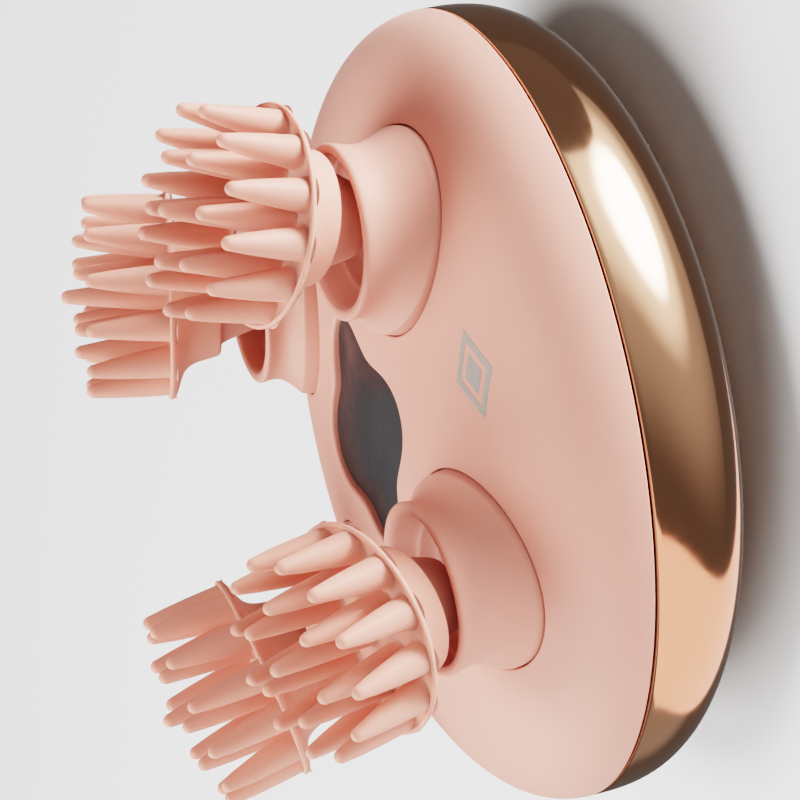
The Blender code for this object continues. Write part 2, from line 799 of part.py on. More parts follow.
def build_screws():
    cover_screw = build_screw("cover_screw_1", COVER_SCREW_LENGTH)
    for i, screw in enumerate(four_of(cover_screw)):
        screw.location = (*post_centre(i), COVER_TOP + GAP)
    chassis_screw = build_screw("chassis_screw_1", CHASSIS_SCREW_LENGTH)
    for i, screw in enumerate(four_of(chassis_screw)):
        screw.location = (*boss_centre(i), CHASSIS_BOTTOM - GAP)
        screw.rotation_euler.x = math.pi


# Motor, battery and boards ---------------------------------------------------


def build_motor():
    shaft = MOTOR_SHAFT_RADIUS + GAP
    shaft_floor = MOTOR_TOP - 4 * MM
    profile = [
        (0, shaft_floor),
        (shaft, shaft_floor),
        (shaft, MOTOR_TOP),
        (MOTOR_RADIUS, MOTOR_TOP),
        (MOTOR_RADIUS, MOTOR_BOTTOM + MM),
        (MOTOR_RADIUS - MM, MOTOR_BOTTOM),
        (0, MOTOR_BOTTOM),
    ]
    motor = turned("motor", profile, 20, STEEL)
    motor.location.x = PINION_OUT
    return motor


def build_motor_clamp():
    """A sleeve round the motor with a flange under the chassis."""
    inner = MOTOR_RADIUS + GAP
    outer = inner + 1.2 * MM
    flange = outer + 1.5 * MM
    top = CHASSIS_BOTTOM - GAP
    flange_bottom = top - 1.2 * MM
    profile = [
        (inner, top),
        (flange, top),
        (flange, flange_bottom),
        (outer, flange_bottom),
        (outer, top - 5 * MM),
        (inner, top - 5 * MM),
    ]
    clamp = turned("motor_clamp", profile, 20, GRAY_PLASTIC)
    clamp.location.x = PINION_OUT
    return clamp


def build_battery():
    """A pouch cell in an open tray."""
    box("battery", BATTERY_SIZE, BATTERY_CENTRE, 1.2 * MM, BATTERY_WRAP)
    hollow = BATTERY_SIZE + Vector((2, 2, 2)) * GAP
    top = BATTERY_CENTRE.z + 1.5 * MM
    bottom = BATTERY_CENTRE.z - hollow.z / 2 - TRAY_WALL
    size = (hollow.x + 2 * TRAY_WALL, hollow.y + 2 * TRAY_WALL, top - bottom)
    centre = (BATTERY_CENTRE.x, BATTERY_CENTRE.y, (top + bottom) / 2)
    tray = box("battery_tray", size, centre, 0.0, GRAY_PLASTIC)
    return cut(tray, box("tray_hollow", hollow, BATTERY_CENTRE, collection=CUTTERS))


def build_boards():
    board_centre = (-2 * MM, 0, BOARD_BOTTOM + BOARD_SIZE.z / 2)
    box("circuit_board", BOARD_SIZE, board_centre, 0.0, BOARD_GREEN)
    switch_centre = (0, 0, BOARD_BOTTOM - GAP - SWITCH_SIZE.z / 2)
    box("button_switch", SWITCH_SIZE, switch_centre, 0.3 * MM, DARK_RUBBER)
    light_top = LIGHT_BOARD_Z + MM
    cylinder("light_board", LIGHT_BOARD_RADIUS, LIGHT_BOARD_Z, light_top, 20, BOARD_GREEN)
    column = tube_profile(10 * MM, 8.6 * MM, COVER_TOP + GAP, LIGHT_BOARD_Z - GAP)
    turned("light_column", column, 20, GRAY_PLASTIC)


# Button ----------------------------------------------------------------------


def build_button():
    """A round cap in the back cover's hole, with a flange inside and a short stem."""
    stem = 1.5 * MM
    flange = BUTTON_HOLE_RADIUS + MM
    edge = 0.3 * MM
    profile = [
        (0, BUTTON_STEM_TOP),
        (stem, BUTTON_STEM_TOP),
        (stem, BUTTON_FLANGE_TOP),
        (flange, BUTTON_FLANGE_TOP),
        (flange, WALL + GAP),
        (BUTTON_RADIUS, WALL + GAP),
        (BUTTON_RADIUS, BUTTON_RECESS + edge),
        (BUTTON_RADIUS - edge, BUTTON_RECESS),
        (0, BUTTON_RECESS),
    ]
    return turned("power_button", profile, 16, ROSE_GOLD)


def build_button_spring():
    """A conical coil between the button's flange and the board."""
    turns = 2.5
    count = 20
    wire = 0.3 * MM
    bottom = BUTTON_FLANGE_TOP + 2 * wire
    top = BOARD_BOTTOM - 2 * wire
    points = []
    for i in range(count + 1):
        share = i / count
        radius = (7.4 - 2.2 * share) * MM
        height = bottom + (top - bottom) * share
        points.append(Vector((*around(radius, TURN * turns * share), height)))
    return bent_wire("button_spring", points, wire, 1, STEEL)


# Charging port ---------------------------------------------------------------


def port_outside():
    """X of the back cover's outer surface at the port's lower edge, on the -X side."""
    return -shell_radius(SEAM_Z - PORT_BOTTOM, BODY_RADIUS, BACK_DEPTH, BACK_POWER)


def build_port_flap():
    """A rubber block that fills the opening, cut flush with the cover's outside."""
    height = PORT_TOP - PORT_BOTTOM - 2 * GAP
    inside = port_outside() + FLAP_THICKNESS
    size = Vector((2 * FLAP_THICKNESS, PORT_WIDTH - 2 * GAP, height))
    centre = (inside - FLAP_THICKNESS, 0, (PORT_TOP + PORT_BOTTOM) / 2)
    flap = box("port_flap", size, centre, 0.0, DARK_RUBBER)
    curve = half_shell(BODY_RADIUS, BACK_DEPTH, BACK_POWER, -1)
    body = [(0.0, SEAM_Z), (BODY_RADIUS, SEAM_Z)] + curve[::-1]
    hull = turned("flap_hull", body, BODY_STEPS, collection=CUTTERS)
    return combine(flap, [hull], "INTERSECT")


def build_socket():
    socket_z = (PORT_TOP + PORT_BOTTOM) / 2
    front = port_outside() + FLAP_THICKNESS + GAP
    centre = (front + SOCKET_SIZE.x / 2, 0, socket_z)
    socket = box("charging_socket", SOCKET_SIZE, centre, 0.6 * MM, STEEL)
    slot_size = (5 * MM, 6.6 * MM, 1.4 * MM)
    cut(socket, box("socket_slot", slot_size, (front, 0, socket_z), collection=CUTTERS))
    board_x = front + 2.8 * MM + CHARGING_BOARD_SIZE.x / 2
    board_z = socket_z - SOCKET_SIZE.z / 2 - GAP - CHARGING_BOARD_SIZE.z / 2
    box("charging_board", CHARGING_BOARD_SIZE, (board_x, 0, board_z), 0.0, BOARD_GREEN)


def main():
    build_front_shell()
    build_back_cover()
    build_seam_gasket()
    build_window()
    build_collars()
    build_driven_parts()
    build_central_gear()
    build_central_axle()
    build_motor_pinion()
    build_chassis()
    build_gearbox_cover()
    build_bearings_and_seals()
    build_screws()
    build_motor()
    build_motor_clamp()
    build_battery()
    build_boards()
    build_button()
    build_button_spring()
    build_port_flap()
    build_socket()


main()
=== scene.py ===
# Looks of an electric scalp massager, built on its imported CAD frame. Shells, collars,
# heads and visible fittings are built again with fine meshes, and each rides on its CAD
# body. Lengths are in metres. Angles turn about +Z, the body's axis, from +X.

import json
import math

import bmesh
import bpy
from mathutils import Matrix, Vector


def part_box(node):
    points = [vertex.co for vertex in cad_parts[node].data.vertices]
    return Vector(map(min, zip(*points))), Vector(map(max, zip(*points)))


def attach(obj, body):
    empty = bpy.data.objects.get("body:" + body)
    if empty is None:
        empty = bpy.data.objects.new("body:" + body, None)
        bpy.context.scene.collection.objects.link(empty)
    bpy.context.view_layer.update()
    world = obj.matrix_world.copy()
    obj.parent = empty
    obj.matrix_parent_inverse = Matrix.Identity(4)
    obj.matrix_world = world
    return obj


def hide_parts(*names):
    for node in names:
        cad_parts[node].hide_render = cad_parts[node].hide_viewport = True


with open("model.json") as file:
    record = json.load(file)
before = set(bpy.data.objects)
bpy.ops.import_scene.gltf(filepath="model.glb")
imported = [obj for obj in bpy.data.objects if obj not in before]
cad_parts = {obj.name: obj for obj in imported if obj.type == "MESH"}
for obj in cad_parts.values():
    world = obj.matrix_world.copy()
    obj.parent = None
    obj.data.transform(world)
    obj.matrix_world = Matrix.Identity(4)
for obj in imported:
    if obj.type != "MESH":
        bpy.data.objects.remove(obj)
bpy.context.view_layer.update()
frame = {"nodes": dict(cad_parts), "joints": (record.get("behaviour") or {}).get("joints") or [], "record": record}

MM = 0.001
TURN = 2 * math.pi

# Body, as in the CAD: two superellipse shells that meet at the seam plane
BODY_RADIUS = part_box("front_shell")[1].x
SEAM_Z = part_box("back_cover")[1].z + 0.18 * MM
FRONT_HEIGHT = 19.8 * MM
FRONT_POWER = 2.25
BACK_DEPTH = 22.5 * MM
BACK_POWER = 2.8
WALL = 2.2 * MM
SEAM_HALF = 0.13 * MM
EDGE_ROUND = 0.32 * MM
BODY_STEPS = 256

# Window
WINDOW_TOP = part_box("center_window")[1].z
WINDOW_RADIUS = 14.2 * MM
WINDOW_LOBE = 2.1 * MM
WINDOW_STEPS = 240
WINDOW_EDGE = 0.55 * MM

# Collars and their grooves
HEAD_JOINTS = [joint for joint in frame["joints"] if joint["name"].startswith("head_spin")]
DRIVE_OUT = Vector(HEAD_JOINTS[0]["pos_m"]).xy.length
BASE_OUT = 33.0 * MM
BASE_TILT = math.radians(17)
GROOVE_RADIUS = 14.05 * MM
GROOVE_EDGE = 0.3 * MM
MOUTH_OUT = 34.3 * MM
MOUTH_TILT = math.radians(5)
MOUTH_Z = SEAM_Z + 24.2 * MM
COLLAR_STEPS = 128

# Heads
PIVOT_Z = SEAM_Z + 23.3 * MM
HEAD_TILT = math.radians(16.5)
RIM_DISTANCE = 11.6 * MM
DISH_FLOOR_Z = PIVOT_Z - 5.6 * MM
SPINDLE_RADIUS = 2.2 * MM
HEAD_STEPS = 128
BRISTLE_STEPS = 28
BRISTLE_RINGS = (
    # count, first angle, tip radius, tip height over the rim, outward lean
    (1, 0.0, 0.0, 14.8 * MM, 0.0),
    (6, 0.0, 7.9 * MM, 13.1 * MM, math.radians(3)),
    (12, math.radians(15), 13.6 * MM, 11.6 * MM, math.radians(7.5)),
)

# Button and port
BUTTON_HOLE = 7.6 * MM
BUTTON_RADIUS = 7.2 * MM
BUTTON_FACE_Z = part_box("power_button")[0].z
PORT_GAP = 0.15 * MM

LIGHT_DISTANCE = 0.9


# Mesh building --------------------------------------------------------------


def add_mesh(name, bm, material=None, sharp=40):
    bmesh.ops.recalc_face_normals(bm, faces=bm.faces)
    mesh = bpy.data.meshes.new(name)
    bm.to_mesh(mesh)
    bm.free()
    mesh.shade_smooth()
    mesh.set_sharp_from_angle(angle=math.radians(sharp))
    piece = bpy.data.objects.new(name, mesh)
    bpy.context.scene.collection.objects.link(piece)
    if material:
        mesh.materials.append(material)
    return piece


def add_loft(bm, rings, ends=("open", "open")):
    """Joins rings of equally many points by quads. Each end is open, or is closed by a
    face. Both ends "joined" makes a ring that closes on itself."""
    loops = [[bm.verts.new(point) for point in ring] for ring in rings]
    pairs = list(zip(loops, loops[1:]))
    if ends[0] == "joined":
        pairs.append((loops[-1], loops[0]))
    for low, high in pairs:
        for i, vert in enumerate(low):
            j = (i + 1) % len(low)
            bm.faces.new((vert, low[j], high[j], high[i]))
    for end, loop in zip(ends, (loops[0][::-1], loops[-1])):
        if end == "face":
            bm.faces.new(loop)
    return bm


def circle(radius, height, steps, turn=0.0):
    ring = []
    for i in range(steps):
        angle = turn + TURN * i / steps
        ring.append(Vector((radius * math.cos(angle), radius * math.sin(angle), height)))
    return ring


def add_turned(bm, profile, steps, closed=False, place=Matrix.Identity(4)):
    """Turns a profile of (radius, height) points about Z. Ends near the axis are closed."""
    rings = []
    for radius, height in profile:
        rings.append([place @ point for point in circle(max(radius, 0.01 * MM), height, steps)])
    if closed:
        ends = ("joined", "joined")
    else:
        ends = ("face", "face")
    return add_loft(bm, rings, ends)


def rounded(points, rounds=3):
    """Rounds a profile's corners by cutting them, and keeps its ends (Chaikin)."""
    for _ in range(rounds):
        finer = [points[0]]
        for a, b in zip(points, points[1:]):
            a, b = Vector(a), Vector(b)
            finer += [a.lerp(b, 0.25), a.lerp(b, 0.75)]
        points = finer + [points[-1]]
    return [tuple(point) for point in points]


def cut(piece, *cutters):
    """Cuts closed meshes out of a piece, and removes them."""
    for cutter in cutters:
        modifier = piece.modifiers.new("cut", "BOOLEAN")
        modifier.object = cutter
        bpy.context.view_layer.update()
        graph = bpy.context.evaluated_depsgraph_get()
        piece.data = bpy.data.meshes.new_from_object(piece.evaluated_get(graph))
        piece.modifiers.clear()
        bpy.data.objects.remove(cutter)
    piece.data.shade_smooth()
    piece.data.set_sharp_from_angle(angle=math.radians(35))
    return piece


def joined(piece, others):
    """One piece from several meshes that share their material."""
    bm = bmesh.new()
    for part in [piece, *others]:
        part.data.transform(part.matrix_world)
        part.matrix_world = Matrix.Identity(4)
        bm.from_mesh(part.data)
    material = piece.data.materials[0]
    for part in others:
        bpy.data.objects.remove(part)
    mesh = bpy.data.meshes.new(piece.name)
    bm.to_mesh(mesh)
    bm.free()
    mesh.materials.append(material)
    mesh.shade_smooth()
    mesh.set_sharp_from_angle(angle=math.radians(35))
    piece.data = mesh
    return piece


def stands_for(piece, body, slot, *nodes):
    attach(piece, body)
    if nodes:
        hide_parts(*nodes)
    return piece


def corners():
    """Index from 1, and the matrix from a corner's frame (+X outward, drive axis at the
    origin) to the body's frame."""
    for index, joint in enumerate(HEAD_JOINTS, 1):
        x, y, _ = joint["pos_m"]
        place = Matrix.Translation((x, y, 0)) @ Matrix.Rotation(math.atan2(y, x), 4, "Z")
        yield index, place


# Materials ------------------------------------------------------------------


class Surface:
    """A Principled material with a few procedural helpers."""

    def __init__(self, name, color, roughness, metallic=0.0):
        self.material = bpy.data.materials.new(name)
        self.material.use_nodes = True
        self.tree = self.material.node_tree
        self.shader = self.tree.nodes["Principled BSDF"]
        self.color = (*color, 1.0)
        self.set("Base Color", self.color)
        self.set("Roughness", roughness)
        self.set("Metallic", metallic)
        self.coordinates = self.add("ShaderNodeTexCoord").outputs["Object"]
        self.height = None

    def add(self, kind, **values):
        node = self.tree.nodes.new(kind)
        for name, value in values.items():
            setattr(node, name, value)
        return node

    def set(self, socket, value):
        self.shader.inputs[socket].default_value = value

    def link(self, source, target):
        self.tree.links.new(source, target)

    def noise(self, per_metre, detail=3.0, stretch=(1, 1, 1)):
        """Noise over the surface, with features of about 1 / per_metre."""
        mapping = self.add("ShaderNodeMapping")
        mapping.inputs["Scale"].default_value = [per_metre * value for value in stretch]
        self.link(self.coordinates, mapping.inputs["Vector"])
        noise = self.add("ShaderNodeTexNoise")
        noise.inputs["Scale"].default_value = 1.0
        noise.inputs["Detail"].default_value = detail
        self.link(mapping.outputs["Vector"], noise.inputs["Vector"])
        return noise.outputs["Fac"]

    def spread(self, source, low, high, start=0.3, end=0.7):
        """Maps a value to a range."""
        node = self.add("ShaderNodeMapRange")
        names = ("From Min", "From Max", "To Min", "To Max")
        for name, value in zip(names, (start, end, low, high)):
            node.inputs[name].default_value = value
        self.link(source, node.inputs["Value"])
        return node.outputs["Result"]

    def tint(self, source, other):
        """Mixes the base colour towards another colour where the source is high."""
        mix = self.add("ShaderNodeMix", data_type="RGBA")
        mix.inputs["A"].default_value = self.color
        mix.inputs["B"].default_value = (*other, 1.0)
        self.link(self.spread(source, 0.0, 1.0), mix.inputs["Factor"])
        self.link(mix.outputs["Result"], self.shader.inputs["Base Color"])
        return self

    def rough(self, source, low, high):
        self.link(self.spread(source, low, high), self.shader.inputs["Roughness"])
        return self

    def bump(self, source, depth):
        """Adds a bump. The depth is in metres."""
        node = self.add("ShaderNodeBump")
        node.inputs["Distance"].default_value = depth
        node.inputs["Strength"].default_value = 1.0
        self.link(source, node.inputs["Height"])
        if self.height:
            self.link(self.height, node.inputs["Normal"])
        self.height = node.outputs["Normal"]
        self.link(self.height, self.shader.inputs["Normal"])
        return self


def pink_plastic():
    """Soft-touch paint: very fine grain, and a slight drift in its colour."""
    surface = Surface("pink_soft_plastic", (0.690, 0.330, 0.266), 0.46)
    surface.tint(surface.noise(35, 2), (0.705, 0.342, 0.277))
    surface.rough(surface.noise(600), 0.44, 0.52)
    surface.bump(surface.noise(5500, 2), 0.000004)
    surface.set("Specular IOR Level", 0.4)
    surface.set("Sheen Weight", 0.12)
    surface.set("Sheen Roughness", 0.4)
    surface.set("Sheen Tint", (1.0, 0.85, 0.8, 1.0))
    return surface.material


def pink_silicone():
    """Satin silicone that lets light a little way in."""
    surface = Surface("pink_silicone", (0.730, 0.350, 0.278), 0.42)
    surface.tint(surface.noise(120, 2), (0.745, 0.364, 0.292))
    surface.rough(surface.noise(900), 0.38, 0.48)
    surface.bump(surface.noise(3500, 2), 0.000005)
    surface.set("Subsurface Weight", 0.35)
    surface.set("Subsurface Radius", (1.0, 0.35, 0.22))
    surface.set("Subsurface Scale", 0.0016)
    surface.set("Specular IOR Level", 0.4)
    return surface.material


def rose_gold():
    """Vacuum-metallised plastic under clear lacquer, with a faint orange peel."""
    surface = Surface("rose_gold", (0.860, 0.510, 0.340), 0.10, 1.0)
    surface.tint(surface.noise(45, 2), (0.845, 0.490, 0.325))
    surface.rough(surface.noise(400), 0.085, 0.12)
    surface.bump(surface.noise(260, 2), 0.000004)
    return surface.material


def smoked_panel():
    """Smoked acrylic with a satin face."""
    surface = Surface("smoked_panel", (0.046, 0.047, 0.049), 0.32)
    surface.tint(surface.noise(90), (0.053, 0.052, 0.053))
    surface.rough(surface.noise(500), 0.28, 0.36)
    surface.set("Specular IOR Level", 0.3)
    return surface.material


def dark_rubber():
    surface = Surface("dark_rubber", (0.030, 0.018, 0.015), 0.7)
    surface.tint(surface.noise(300), (0.045, 0.028, 0.024))
    surface.rough(surface.noise(900), 0.6, 0.8)
    surface.bump(surface.noise(4000, 2), 0.00001)
    return surface.material


def molded(name, color, lighter):
    """Plain moulded plastic of the inner parts."""
    surface = Surface(name, color, 0.5)
    surface.tint(surface.noise(150), lighter)
    surface.rough(surface.noise(700), 0.42, 0.58)
    surface.bump(surface.noise(3000, 2), 0.000008)
    return surface.material


def brushed_steel():
    surface = Surface("brushed_steel", (0.56, 0.56, 0.57), 0.3, 1.0)
    grain = surface.noise(700, 3, (1, 1, 0.06))
    surface.tint(surface.noise(200), (0.48, 0.48, 0.49))
    surface.rough(grain, 0.22, 0.4)
    surface.bump(grain, 0.000004)
    return surface.material


def printed_gray():
    """Slightly transparent gray print on the shell."""
    surface = Surface("printed_gray", (0.340, 0.310, 0.285), 0.42)
    surface.tint(surface.noise(900), (0.355, 0.325, 0.300))
    surface.rough(surface.noise(1500), 0.36, 0.5)
    return surface.material


PINK = pink_plastic()
SILICONE = pink_silicone()
GOLD = rose_gold()
SMOKED = smoked_panel()
RUBBER = dark_rubber()
GRAY = molded("gray_plastic", (0.25, 0.25, 0.26), (0.29, 0.29, 0.30))
ACETAL = molded("white_acetal", (0.78, 0.78, 0.74), (0.84, 0.84, 0.80))
WRAP = molded("battery_wrap", (0.07, 0.15, 0.34), (0.09, 0.18, 0.40))
BOARD = molded("board_green", (0.025, 0.17, 0.07), (0.035, 0.22, 0.09))
STEEL = brushed_steel()
PRINT = printed_gray()


def repaint_frame():
    """Gives every CAD node that stays in view its procedural material."""
    finishes = {
        "pink_plastic": PINK,
        "pink_silicone": SILICONE,
        "rose_gold": GOLD,
        "smoked_plastic": SMOKED,
        "dark_rubber": RUBBER,
        "gray_plastic": GRAY,
        "white_acetal": ACETAL,
        "steel": STEEL,
        "battery_wrap": WRAP,
        "board_green": BOARD,
    }
    for part in frame["record"]["subparts"]:
        node = frame["nodes"][part["node"]]
        node.data.materials.clear()
        node.data.materials.append(finishes[part["material_slot"]])


# Shells ---------------------------------------------------------------------


def dome_height(out):
    """Height of the front shell's outer surface over the seam plane."""
    return FRONT_HEIGHT * (1 - min(out / BODY_RADIUS, 1) ** FRONT_POWER) ** (1 / FRONT_POWER)


def shell_arc(radius, height, power, sign, count):
    """From the pole to the widest plane, closer together where it bends."""
    points = []
    for i in range(count + 1):
        angle = math.pi / 2 * (1 - i / count)
        rise = height * math.sin(angle) ** (2 / power)
        out = radius * math.cos(angle) ** (2 / power) if i else 0.0
        points.append((out, SEAM_Z + sign * rise))
    return points


def rim_round(sign):
    """The rounded edge beside the seam, from the outer surface to the rim's face."""
    points = []
    for i in range(6):
        angle = math.pi / 2 * i / 5
        out = BODY_RADIUS - EDGE_ROUND * (1 - math.cos(angle))
        points.append((out, SEAM_Z + sign * (SEAM_HALF + EDGE_ROUND * (1 - math.sin(angle)))))
    return points


def shell_section(height, power, sign, outer):
    """A shell's section, from its outer surface round the rim and back inside."""
    edge = SEAM_HALF + EDGE_ROUND
    above = [point for point in outer if abs(point[1] - SEAM_Z) > edge + 0.1 * MM]
    inner_radius = BODY_RADIUS - WALL
    inner = shell_arc(inner_radius, height - WALL, power, sign, 24)
    rebate = [(BODY_RADIUS - MM, SEAM_Z + sign * SEAM_HALF), (BODY_RADIUS - MM, SEAM_Z + sign * MM)]
    inside = [point for point in inner if abs(point[1] - SEAM_Z) > 1.1 * MM]
    return above, rim_round(sign) + rebate + [(inner_radius, SEAM_Z + sign * MM)], inside


def lobed(offset, height=0.0):
    """The window's outline, moved outward by an offset."""
    ring = []
    for i in range(WINDOW_STEPS):
        angle = TURN * i / WINDOW_STEPS
        radius = WINDOW_RADIUS + WINDOW_LOBE * math.cos(4 * angle) + offset
        ring.append(Vector((radius * math.cos(angle), radius * math.sin(angle), height)))
    return ring


def tilted_ring(out, height, tilt, radius, steps=COLLAR_STEPS):
    """A circle tilted outward, in a corner's frame."""
    normal = Vector((math.sin(tilt), 0, math.cos(tilt)))
    outward = Vector((math.cos(tilt), 0, -math.sin(tilt)))
    sideways = normal.cross(outward)
    centre = Vector((out - DRIVE_OUT, 0, height))
    ring = []
    for i in range(steps):
        angle = TURN * i / steps
        ring.append(centre + radius * (math.cos(angle) * outward + math.sin(angle) * sideways))
    return ring


BASE_Z = SEAM_Z + dome_height(BASE_OUT)
BASE_NORMAL = Vector((math.sin(BASE_TILT), 0, math.cos(BASE_TILT)))


def on_dome(point):
    """Moves a point of a corner's frame along the collar's base axis to the dome."""
    low, high = -16 * MM, 16 * MM
    for _ in range(34):
        middle = (low + high) / 2
        probe = point + middle * BASE_NORMAL
        out = math.hypot(probe.x + DRIVE_OUT, probe.y)
        if probe.z < SEAM_Z + dome_height(out):
            low = middle
        else:
            high = middle
    return point + low * BASE_NORMAL


def edge_rows(size):
    """(distance out from the wall, depth) over a rounded edge, from the surface down."""
    rows = [(size + 0.75 * MM, 0.012 * MM), (size + 0.4 * MM, -0.008 * MM)]
    rows.append((size + 0.15 * MM, -0.004 * MM))
    for i in range(7):
        angle = math.pi / 2 * i / 6
        rows.append((size * (1 - math.sin(angle)), size * (1 - math.cos(angle))))
    return rows + [(0, size + 0.8 * MM), (0, size + 2.2 * MM)]


def groove_edge(place):
    """The dome's rounded edge round one collar."""
    bm = bmesh.new()
    rings = []
    for out, depth in edge_rows(GROOVE_EDGE):
        flat = tilted_ring(BASE_OUT, BASE_Z, BASE_TILT, GROOVE_RADIUS + out, 192)
        rings.append([place @ (on_dome(point) - depth * BASE_NORMAL) for point in flat])
    add_loft(bm, rings)
    return add_mesh("groove_edge", bm)


def window_edge():
    """The dome's rounded edge round the window, and the recess wall below it."""
    bm = bmesh.new()
    rings = []
    for out, depth in edge_rows(WINDOW_EDGE):
        ring = lobed(out)
        for point in ring:
            point.z = SEAM_Z + dome_height(point.xy.length) - depth
        rings.append(ring)
    add_loft(bm, rings)
    return add_mesh("window_edge", bm)


def build_front_shell():
    outer = shell_arc(BODY_RADIUS, FRONT_HEIGHT, FRONT_POWER, 1, 84)
    above, rim, inside = shell_section(FRONT_HEIGHT, FRONT_POWER, 1, outer)
    bm = bmesh.new()
    add_turned(bm, above + rim + inside[::-1], BODY_STEPS)
    shell = add_mesh("front_shell_fine", bm, PINK)
    cutters = []
    opening = bmesh.new()
    rings = [lobed(WINDOW_EDGE + 0.1 * MM, WINDOW_TOP + rise) for rise in (-8 * MM, 8 * MM)]
    add_loft(opening, rings, ("face", "face"))
    cutters.append(add_mesh("opening", opening))
    edges = [window_edge()]
    for _, place in corners():
        hole = bmesh.new()
        radius = GROOVE_RADIUS + GROOVE_EDGE + 0.1 * MM
        flat = tilted_ring(BASE_OUT, BASE_Z, BASE_TILT, radius, 96)
        rings = []
        for rise in (-9 * MM, 9 * MM):
            rings.append([place @ (point + rise * BASE_NORMAL) for point in flat])
        add_loft(hole, rings, ("face", "face"))
        cutters.append(add_mesh("hole", hole))
        edges.append(groove_edge(place))
    cut(shell, *cutters)
    joined(shell, edges)
    return stands_for(shell, "body", "pink_plastic", "front_shell")


def build_back_cover():
    outer = shell_arc(BODY_RADIUS, BACK_DEPTH, BACK_POWER, -1, 110)
    curve = [point for point in outer if point[1] > 0.02 * MM]
    above, rim, inside = shell_section(BACK_DEPTH, BACK_POWER, -1, curve)
    foot = [(BUTTON_HOLE, WALL), (BUTTON_HOLE, 0.4 * MM), (BUTTON_HOLE + 0.12 * MM, 0.12 * MM)]
    foot += [(BUTTON_HOLE + 0.4 * MM, 0.0), (BUTTON_HOLE + 2 * MM, 0.0), (above[0][0] - MM, 0.0)]
    over_floor = [point for point in inside if point[1] > WALL + 0.1 * MM]
    hollow = [point for point in over_floor if point[0] > BUTTON_HOLE + MM]
    bm = bmesh.new()
    add_turned(bm, foot + above + rim + hollow[::-1], BODY_STEPS, closed=True)
    cover = add_mesh("back_cover_fine", bm, GOLD)
    cut(cover, port_opening())
    return stands_for(cover, "body", "rose_gold", "back_cover")


def port_opening():
    """A block with rounded corners, a little wider than the port's flap."""
    low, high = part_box("port_flap")
    size = Vector((12 * MM, high.y - low.y + 2 * PORT_GAP, high.z - low.z + 2 * PORT_GAP))
    centre = Vector((low.x, 0, (low.z + high.z) / 2))
    place = Matrix.Translation(centre) @ Matrix.Diagonal((*size, 1))
    bm = bmesh.new()
    bmesh.ops.create_cube(bm, size=1)
    bmesh.ops.transform(bm, matrix=place, verts=bm.verts)
    sides = [edge for edge in bm.edges if abs(edge.verts[0].co.x - edge.verts[1].co.x) > MM]
    bmesh.ops.bevel(bm, geom=sides, offset=0.9 * MM, segments=5, affect="EDGES")
    return add_mesh("port_opening", bm)


def build_gasket():
    outer = BODY_RADIUS - 1.03 * MM
    inner = BODY_RADIUS - WALL + 0.1 * MM
    low, high = SEAM_Z - 0.9 * MM, SEAM_Z + 0.9 * MM
    profile = [(inner, high), (outer, high), (outer, low), (inner, low)]
    bm = bmesh.new()
    add_turned(bm, profile, BODY_STEPS, closed=True)
    gasket = add_mesh("seam_gasket_fine", bm, RUBBER)
    return stands_for(gasket, "body", "dark_rubber", "seam_gasket")


def build_window():
    gap = 0.12 * MM
    edge = 0.15 * MM
    bm = bmesh.new()
    rings = [lobed(-gap, WINDOW_TOP - 2.2 * MM), lobed(-gap, WINDOW_TOP - edge)]
    rings += [lobed(-gap - edge * 0.3, WINDOW_TOP - edge * 0.3), lobed(-gap - edge, WINDOW_TOP)]
    add_loft(bm, rings, ("face", "face"))
    window = add_mesh("center_window_fine", bm, SMOKED, sharp=50)
    return stands_for(window, "body", "smoked_plastic", "center_window")


def build_mark():
    """A plain gray diamond with a smaller one in it, printed on the near side."""
    centre = Vector((0.5 * MM, -38.8 * MM))
    half = Vector((6.0 * MM, 3.9 * MM))
    bm = bmesh.new()
    for outer, inner in ((1.0, 0.72), (0.46, 0.0)):
        rings = []
        for step in range(5):
            share = outer + (inner - outer) * step / 4
            rings.append(diamond(centre, half * share))
        add_loft(bm, rings)
    mark = add_mesh("side_mark", bm, PRINT)
    return stands_for(mark, "body", "pink_plastic")


def diamond(centre, half):
    """A diamond's outline on the dome, a little over its surface."""
    tips = (Vector((half.x, 0)), Vector((0, half.y)), Vector((-half.x, 0)), Vector((0, -half.y)))
    ring = []
    for i, tip in enumerate(tips):
        for step in range(8):
            flat = centre + tip.lerp(tips[(i + 1) % 4], step / 8)
            ring.append(Vector((*flat, SEAM_Z + dome_height(flat.length) + 0.03 * MM)))
    return ring


# Collars --------------------------------------------------------------------


def collar_ring(share, radius, offset):
    """share runs from 0 at the base plane to 1 at the mouth plane. The radius and the
    offset along the ring's own axis are in millimetres."""
    tilt = BASE_TILT + share * (MOUTH_TILT - BASE_TILT)
    out = BASE_OUT + share * (MOUTH_OUT - BASE_OUT) + offset * MM * math.sin(tilt)
    height = BASE_Z + share * (MOUTH_Z - BASE_Z) + offset * MM * math.cos(tilt)
    return tilted_ring(out, height, tilt, radius * MM)


def dish_ring(share, radius):
    """share runs from 0 at the mouth plane to 1 at the floor round the spindle."""
    out = MOUTH_OUT + share * (DRIVE_OUT - MOUTH_OUT)
    height = MOUTH_Z + share * (DISH_FLOOR_Z - MOUTH_Z)
    return tilted_ring(out, height, MOUTH_TILT * (1 - share), radius * MM)


